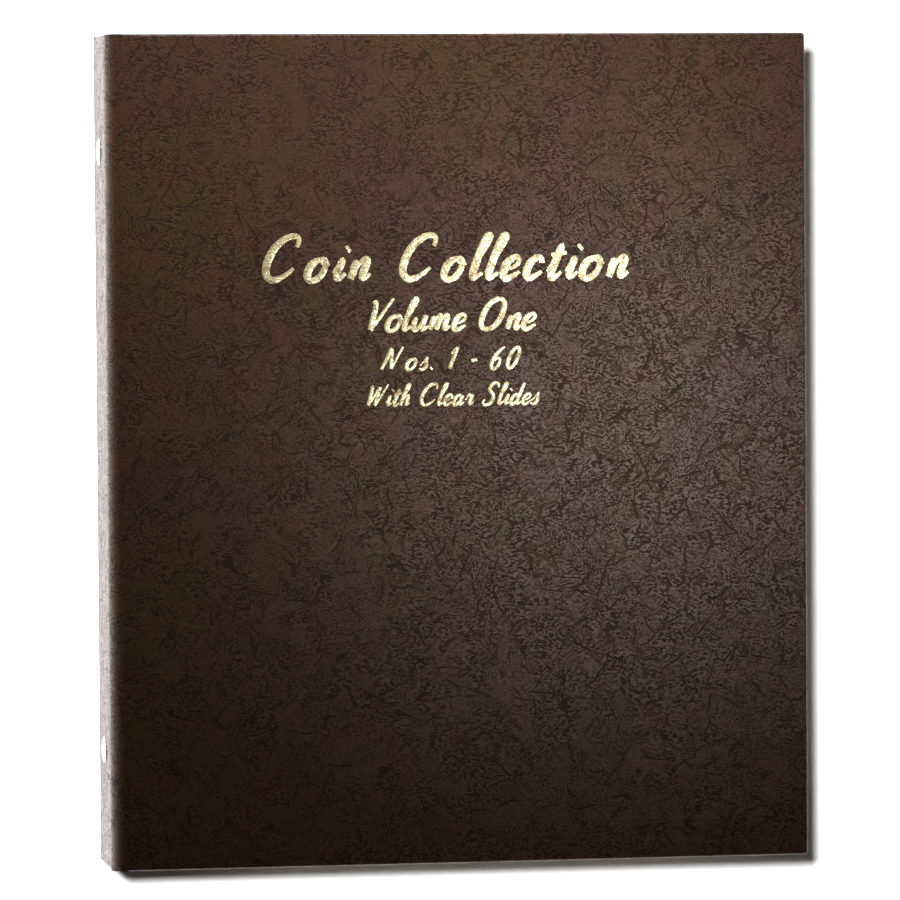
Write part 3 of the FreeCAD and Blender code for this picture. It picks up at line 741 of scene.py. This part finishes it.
letteringLook = {
    "slant": 0.34,
    "stroke": 0.19,             # widest stroke, as a share of the capitals' height
    "foilHeight": 0.05 * mm,    # how far the foil stands on the skin
    # words, height of a capital, base line up from the middle of the cover, width of the line
    "lines": [
        ("Coin Collection", 11.3 * mm, 45.8 * mm, 101 * mm),
        ("Volume One", 8.2 * mm, 32.1 * mm, 46 * mm),
        ("Nos. 1 - 60", 5.8 * mm, 21.6 * mm, 38 * mm),
        ("With Clear Slides", 5.5 * mm, 12.0 * mm, 47 * mm),
    ],
    "middle": -1.0 * mm,        # middle of the lines across the cover
}


def penWidth(words):
    return sum(penLetters[letter][1] for letter in words)


def writeLine(words, capital, baseLine, width, surface):
    look = letteringLook
    spacing = width / (penWidth(words) * capital)
    curve = bpy.data.curves.new("penStroke", "CURVE")
    curve.dimensions = "3D"
    curve.bevel_depth = 1.0
    curve.bevel_resolution = 3
    curve.resolution_u = 7
    curve.use_fill_caps = True
    pen = -width / 2
    for letter in words:
        strokes, advance = penLetters[letter]
        for stroke in strokes:
            spline = curve.splines.new("NURBS")
            spline.points.add(len(stroke) - 1)
            for point, (across, up, weight) in zip(spline.points, stroke):
                x = pen + (across + look["slant"] * (up - 0.5)) * capital
                point.co = (x, up * capital, 0, 1)
                point.radius = look["stroke"] * capital * weight / 2
            spline.order_u = 3
            spline.use_endpoint_u = True
        pen += advance * capital * spacing
    line = bpy.data.objects.new("foilLine", curve)
    bpy.context.scene.collection.objects.link(line)
    pickUp(line)
    bpy.ops.object.convert(target="MESH")
    line = bpy.context.object
    line.scale.z = look["foilHeight"] / (look["stroke"] * capital / 2)
    line.location = (look["middle"], baseLine, surface)
    return settle(line)


def makeLettering():
    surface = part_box("front_leatherette")[1].z
    lines = [writeLine(*line, surface) for line in letteringLook["lines"]]
    lettering = joinPieces("foilLettering", lines)
    smoothOver(dress(lettering, goldFoil), 60)
    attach(lettering, "front_cover")


makeLettering()
print("lettering ready")


# ---- ring metal

rivetLook = {
    "headRadius": 3.5 * mm,
    "edgeHeight": 0.25 * mm,
    "domeSteps": 6,
    "shaftRadius": 1.6 * mm,
    "tailRadius": 2.6 * mm,
    "tailHeight": 0.7 * mm,
    "sides": 48,
}


def makeRivet(y, middleZ, headTop, spineFace, tailFoot):
    # from the flat tail out to the domed head, each section is extruded from the last
    look = rivetLook
    putDown()
    start = Vector((tailFoot + look["tailHeight"], y, middleZ))
    bpy.ops.mesh.primitive_circle_add(
        vertices=look["sides"], radius=look["tailRadius"], fill_type="NGON", location=start,
        rotation=(0, -math.pi / 2, 0),
    )
    rivet = settle(bpy.context.object)
    domeHeight = spineFace - look["edgeHeight"] - headTop
    domeRadius = (look["headRadius"] ** 2 + domeHeight ** 2) / (2 * domeHeight)
    sections = [
        (tailFoot, look["tailRadius"]),
        (tailFoot, look["shaftRadius"]),
        (spineFace, look["shaftRadius"]),
        (spineFace, look["headRadius"]),
        (spineFace - look["edgeHeight"], look["headRadius"]),
    ]
    for step in range(1, look["domeSteps"]):
        radius = look["headRadius"] * (1 - step / look["domeSteps"])
        fall = domeRadius - math.sqrt(domeRadius ** 2 - radius ** 2)
        sections.append((headTop + fall, radius))
    bpy.ops.object.mode_set(mode="EDIT")
    bpy.ops.mesh.select_all(action="SELECT")
    place, size = start.x, look["tailRadius"]
    for across, radius in sections:
        centre = Vector((across, y, middleZ))
        bpy.ops.mesh.extrude_region_move(TRANSFORM_OT_translate={"value": (across - place, 0, 0)})
        if radius != size:
            bpy.ops.transform.resize(value=(1, radius / size, radius / size), center_override=centre)
        place, size = across, radius
    bpy.ops.object.mode_set(mode="OBJECT")
    faceOutwards(rivet)
    return rivet


def makeRivets():
    low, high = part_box("rivets")
    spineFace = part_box("spine_leatherette")[0].x
    middleZ = (low.z + high.z) / 2
    tailFoot = high.x - rivetLook["tailHeight"]
    headRadius = rivetLook["headRadius"]
    ends = (low.y + headRadius, high.y - headRadius)
    pair = [makeRivet(y, middleZ, low.x, spineFace, tailFoot) for y in ends]
    rivets = joinPieces("capRivets", pair)
    easeEdges(rivets, 0.08 * mm, segments=2, angle=50)
    smoothOver(dress(rivets, nickel), 40)
    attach(rivets, "spine")
    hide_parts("rivets")


ringLook = {
    "footAcross": 3.25 * mm,    # middle of the housing to the foot of a ring half
    "sides": 20,
    "arcSteps": 36,
    "tipRound": 0.12 * mm,
}


def makeRingHalf(number, half):
    look = ringLook
    node = f"ring_{number}_{half}"
    low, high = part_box(node)
    y = (low.y + high.y) / 2
    wire = (high.y - low.y) / 2
    up = 1 if half == "upper" else -1
    middleZ = low.z if half == "upper" else high.z
    radius = high.z - low.z - wire
    centre = Vector((high.x - wire - radius, y, middleZ))
    # the leg leaves the arc where the line to the foot touches the circle
    footDepth = centre.x - low.x
    reach = math.hypot(footDepth, look["footAcross"])
    footAngle = math.pi - math.atan2(look["footAcross"], footDepth)
    arc = footAngle - math.acos(radius / reach)
    legLength = math.sqrt(reach ** 2 - radius ** 2) + 3 * wire
    putDown()
    bpy.ops.mesh.primitive_circle_add(
        vertices=look["sides"], radius=wire, fill_type="NGON", location=centre + Vector((radius, 0, 0))
    )
    ring = settle(bpy.context.object)
    ring.name = f"ring{number}{half.title()}Half"
    bpy.ops.object.mode_set(mode="EDIT")
    bpy.ops.mesh.select_all(action="SELECT")
    bpy.ops.mesh.spin(steps=look["arcSteps"], angle=up * arc, center=centre, axis=(0, 1, 0))
    leg = Vector((-math.sin(arc), 0, up * math.cos(arc))) * legLength
    bpy.ops.mesh.extrude_region_move(TRANSFORM_OT_translate={"value": leg})
    bpy.ops.mesh.select_all(action="SELECT")
    bpy.ops.mesh.bisect(plane_co=(low.x, y, middleZ), plane_no=(1, 0, 0), clear_inner=True, use_fill=True)
    bpy.ops.object.mode_set(mode="OBJECT")
    faceOutwards(ring)
    easeEdges(ring, look["tipRound"], segments=2, angle=60)
    smoothOver(dress(ring, nickel), 40)
    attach(ring, f"{half}_ring_halves")
    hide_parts(node)


def softenNode(name, width, material, segments=2):
    # a carried-over solid keeps its mesh and gets eased edges as it is drawn
    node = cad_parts[name]
    weld = node.modifiers.new("Weld", "WELD")
    weld.merge_threshold = together
    bevel = node.modifiers.new("EasedEdges", "BEVEL")
    bevel.width = width
    bevel.segments = segments
    bevel.limit_method = "ANGLE"
    bevel.angle_limit = math.radians(40)
    dress(node, material)


makeRivets()
for number in range(1, ringCount + 1):
    for half in ("upper", "lower"):
        makeRingHalf(number, half)
softenNode("ring_housing", 0.12 * mm, nickel)
softenNode("head_lever", 0.15 * mm, nickel)
softenNode("tail_lever", 0.15 * mm, nickel)
softenNode("upper_rail", 0.08 * mm, springSteel)
softenNode("lower_rail", 0.08 * mm, springSteel)
dress(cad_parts["lever_pins"], springSteel)
print("ring metal ready")


# ---- leaves

leafLook = {
    "cornerRound": 3 * mm,
    "edgeRound": 0.12 * mm,
    "portRadius": 13.25 * mm,
    "windowRadius": 13.8 * mm,
    "notchRadius": 7 * mm,
    "channelSide": 0.3 * mm,     # beside each slide
    "channelEnd": 0.3 * mm,
    "numberHeight": 3.4 * mm,
    "numberDrop": 17.6 * mm,     # from the port's middle down to its number
    "inkHeight": 0.02 * mm,
}


def portPlaces(low, high):
    # column by column from the binding edge, each from the head down
    columnPitch = (high.x - low.x) / columnCount
    rowPitch = (high.y - low.y) / rowCount
    for column in range(columnCount):
        for row in range(rowCount):
            yield low.x + (column + 0.5) * columnPitch, high.y - (row + 0.5) * rowPitch


def drillPorts(piece, low, high, radius):
    drills = [
        newRod("drill", (x, y, low.z - mm), (x, y, high.z + mm), radius)
        for x, y in portPlaces(low, high)
    ]
    return cutAway(piece, joinPieces("drills", drills))


def roundLeafCorners(piece, high):
    atForeEdge = high.x - slack
    return roundEdges(
        piece, lambda a, b: isUpright(a, b) and a.x > atForeEdge, leafLook["cornerRound"], 8
    )


def makeFacing():
    look = leafLook
    low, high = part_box("leaf_1_front_facing")
    facing = roundLeafCorners(newBlock("leaf1FrontFacing", low, high), high)
    drillPorts(facing, low, high, look["windowRadius"])
    rows = sorted({round(y, 6) for _, y in portPlaces(low, high)})
    notches = [
        newRod("notch", (high.x, y, low.z - mm), (high.x, y, high.z + mm), look["notchRadius"]) for y in rows
    ]
    cutAway(facing, joinPieces("notches", notches))
    easeEdges(facing, look["edgeRound"], segments=2, angle=60)
    return smoothOver(dress(facing, leafPaper))


def makeCore():
    look = leafLook
    low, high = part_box("leaf_1_core")
    core = roundLeafCorners(newBlock("leaf1Core", low, high), high)
    channels = []
    for side, outer in (("front", high.z), ("back", low.z)):
        for row in range(1, rowCount + 1):
            slideLow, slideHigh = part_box(f"leaf_1_{side}_slide_{row}")
            gap = abs(outer - (slideHigh.z if side == "front" else slideLow.z))
            floor = slideLow.z - gap if side == "front" else slideHigh.z + gap
            beyond = outer + mm if side == "front" else outer - mm
            channels.append(newBlock(
                "channel",
                (slideLow.x - look["channelEnd"], slideLow.y - look["channelSide"], min(floor, beyond)),
                (high.x + mm, slideHigh.y + look["channelSide"], max(floor, beyond)),
            ))
    cutAway(core, joinPieces("channels", channels))
    drillPorts(core, low, high, look["portRadius"])
    easeEdges(core, 0.06 * mm, segments=1, angle=60)
    return smoothOver(dress(core, leafCard))


def makeNumbers(leaf, side):
    # small foil numbers, one under each port, read from the side they are on
    look = leafLook
    low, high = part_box(f"leaf_{leaf}_{side}_facing")
    front = side == "front"
    surface = high.z if front else low.z
    places = sorted(portPlaces(low, high), key=lambda p: (-round(p[1], 5), p[0] if front else -p[0]))
    first = (leaf - 1) * columnCount * rowCount
    numbers = []
    for count, (x, y) in enumerate(places, start=1):
        putDown()
        bpy.ops.object.text_add(location=(x, y - look["numberDrop"], surface))
        text = bpy.context.object
        text.data.body = str(first + count)
        text.data.size = look["numberHeight"]
        text.data.align_x = "CENTER"
        text.data.extrude = look["inkHeight"]
        text.data.resolution_u = 3
        if not front:
            text.rotation_euler = (0, math.pi, 0)
        bpy.ops.object.convert(target="MESH")
        numbers.append(bpy.context.object)
    joined = settle(joinPieces(f"leaf{leaf}{side.title()}Numbers", numbers))
    dress(joined, goldFoil)
    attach(joined, f"leaf_{leaf}")


stripLook = {
    "bends": 26,
    "bendStart": 11 * mm,        # punched edge to where the strip starts to rise
    "bendEnd": 17.5 * mm,
    "holeLength": 8 * mm,
    "holeWidth": 5 * mm,
    "ringRadius": 9.5 * mm,
    "holeOffset": 0.5 * mm,
    "punchedEdge": 4 * mm,       # ring centre to the punched edge
    "thickness": 0.8 * mm,
}


def makeBindingStrip(leaf):
    # a grid bent into its S, punched for the rings and given its thickness
    look = stripLook
    node = f"leaf_{leaf}_binding_strip"
    low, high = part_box(node)
    coreLow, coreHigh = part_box(f"leaf_{leaf}_core")
    leafZ = (coreLow.z + coreHigh.z) / 2
    middleZ = (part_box("rivets")[0].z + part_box("rivets")[1].z) / 2
    half = look["thickness"] / 2
    risesUp = leafZ > middleZ
    ringZ = (low.z + half) if risesUp else (high.z - half)
    strip = newBlock(f"leaf{leaf}BindingStrip", (low.x, low.y, ringZ - half), (high.x, high.y, ringZ + half))
    ringCentre = low.x - look["punchedEdge"]
    holeX = ringCentre + look["ringRadius"] + look["holeOffset"]
    reach = (look["holeLength"] - look["holeWidth"]) / 2
    radius = look["holeWidth"] / 2
    for number in range(1, ringCount + 1):
        ringLow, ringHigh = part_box(f"ring_{number}_upper")
        y = (ringLow.y + ringHigh.y) / 2
        punch = newBlock(
            "punch",
            (holeX - reach - radius, y - radius, ringZ - mm),
            (holeX + reach + radius, y + radius, ringZ + mm),
        )
        roundEdges(punch, isUpright, radius * 0.999, 12)
        cutAway(strip, punch)
    pickUp(strip)
    bpy.ops.object.mode_set(mode="EDIT")
    start, end = low.x + look["bendStart"], low.x + look["bendEnd"]
    for step in range(look["bends"] + 1):
        x = start + (end - start) * step / look["bends"]
        bpy.ops.mesh.select_all(action="SELECT")
        bpy.ops.mesh.bisect(plane_co=(x, 0, 0), plane_no=(1, 0, 0))
    bpy.ops.object.mode_set(mode="OBJECT")
    for point in strip.data.vertices:
        share = min(1.0, max(0.0, (point.co.x - start) / (end - start)))
        point.co.z += (leafZ - ringZ) * share * share * (3 - 2 * share)
    easeEdges(strip, 0.1 * mm, segments=2, angle=60)
    smoothOver(dress(strip, stripCloth), 30)
    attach(strip, f"leaf_{leaf}")
    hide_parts(node)


def makeLeaves():
    facing = makeFacing()
    core = makeCore()
    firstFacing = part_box("leaf_1_front_facing")[0].z
    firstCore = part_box("leaf_1_core")[0].z
    for leaf in range(1, leafCount + 1):
        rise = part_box(f"leaf_{leaf}_core")[0].z - firstCore
        ownCore = core if leaf == 1 else copyPiece(core, f"leaf{leaf}Core", (0, 0, rise))
        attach(ownCore, f"leaf_{leaf}")
        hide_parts(f"leaf_{leaf}_core")
        for side in ("front", "back"):
            node = f"leaf_{leaf}_{side}_facing"
            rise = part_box(node)[0].z - firstFacing
            isFirst = leaf == 1 and side == "front"
            own = facing if isFirst else copyPiece(facing, f"leaf{leaf}{side.title()}Facing", (0, 0, rise))
            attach(own, f"leaf_{leaf}")
            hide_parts(node)
            makeNumbers(leaf, side)
        makeBindingStrip(leaf)


makeLeaves()
for name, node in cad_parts.items():
    if "_slide" in name:
        dress(node, clearAcetate)
print("leaves ready")


# ---- table, lights and camera

roomLook = {
    "tableZ": -0.9 * mm,
    "tableTone": (0.86, 0.86, 0.86, 1),
    "ambient": 0.028,
}


def makeTable():
    putDown()
    bpy.ops.mesh.primitive_plane_add(size=6, location=(0, 0, roomLook["tableZ"]))
    table = bpy.context.object
    table.name = "paleTable"
    material, tree, shader = newMaterial("palePaper")
    grain = noise(tree, objectPlace(tree), 900, detail=3)
    shader.inputs["Base Color"].default_value = roomLook["tableTone"]
    shader.inputs["Roughness"].default_value = 0.9
    link(tree, raiseBy(tree, grain.outputs["Fac"], 0.00002), shader.inputs["Normal"])
    dress(table, material)


def makeLight(name, place, aim, size, watts, spread=180, only="album"):
    # only says what the light falls on: the album or the table under it
    putDown()
    bpy.ops.object.light_add(type="AREA", location=place)
    light = bpy.context.object
    light.name = name
    light.rotation_euler = (Vector(aim) - Vector(place)).to_track_quat("-Z", "Y").to_euler()
    light.data.shape = "DISK"
    light.data.size = size
    light.data.energy = watts
    light.data.spread = math.radians(spread)
    lit = bpy.data.collections.new(f"{name}FallsOn")
    lit.objects.link(bpy.data.objects["paleTable"])
    if only == "album":
        lit.collection_objects[0].light_linking.link_state = "EXCLUDE"
    light.light_linking.receiver_collection = lit


def makeWorld():
    world = bpy.data.worlds.new("softRoom")
    bpy.context.scene.world = world
    world.use_nodes = True
    background = world.node_tree.nodes["Background"]
    background.inputs["Color"].default_value = (1, 1, 1, 1)
    background.inputs["Strength"].default_value = roomLook["ambient"]


cameraLook = {
    "tiltX": 2.48,        # degrees the album is turned as the camera sees it
    "tiltY": 9.52,
    "tiltZ": 0.80,
    "distance": 1603.6 * mm,
    "across": 3.0 * mm,
    "up": 0.2 * mm,
    "lens": 240,
    "sensor": 36,
}


def makeCamera():
    look = cameraLook
    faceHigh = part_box("front_leatherette")[1]
    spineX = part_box("spine_leatherette")[0].x
    faceMiddle = Vector(((spineX + faceHigh.x) / 2, 0, faceHigh.z))
    seen = (
        Matrix.Rotation(math.radians(look["tiltZ"]), 3, "Z")
        @ Matrix.Rotation(math.radians(look["tiltY"]), 3, "Y")
        @ Matrix.Rotation(math.radians(look["tiltX"]), 3, "X")
    )
    back = seen.transposed()
    place = faceMiddle - back @ Vector((look["across"], look["up"], -look["distance"]))
    bpy.ops.object.camera_add()
    camera = bpy.context.object
    camera.name = "mainCamera"
    camera.matrix_world = Matrix.Translation(place) @ back.to_4x4()
    camera.data.lens = look["lens"]
    camera.data.sensor_width = look["sensor"]
    camera.data.clip_start = 0.01
    bpy.context.scene.camera = camera


bpy.context.scene.view_settings.view_transform = "Standard"
makeTable()
makeWorld()
makeLight("tableLight", (-0.32, 0.18, 1.2), (0, 0, 0), 0.22, 64, only="table")
makeLight("mainLight", (-0.01, 0.52, 0.34), (-0.01, 0.26, 0.03), 0.30, 0.62, spread=52)
makeLight("glowLight", (0.150, -0.012, 0.58), (0.050, 0.016, 0.03), 0.11, 0.028, spread=24)
makeLight("headLight", (0.0, 0.60, 0.017), (0, 0.11, 0.017), 0.032, 0.7)
putDown()
makeCamera()
print("room ready")
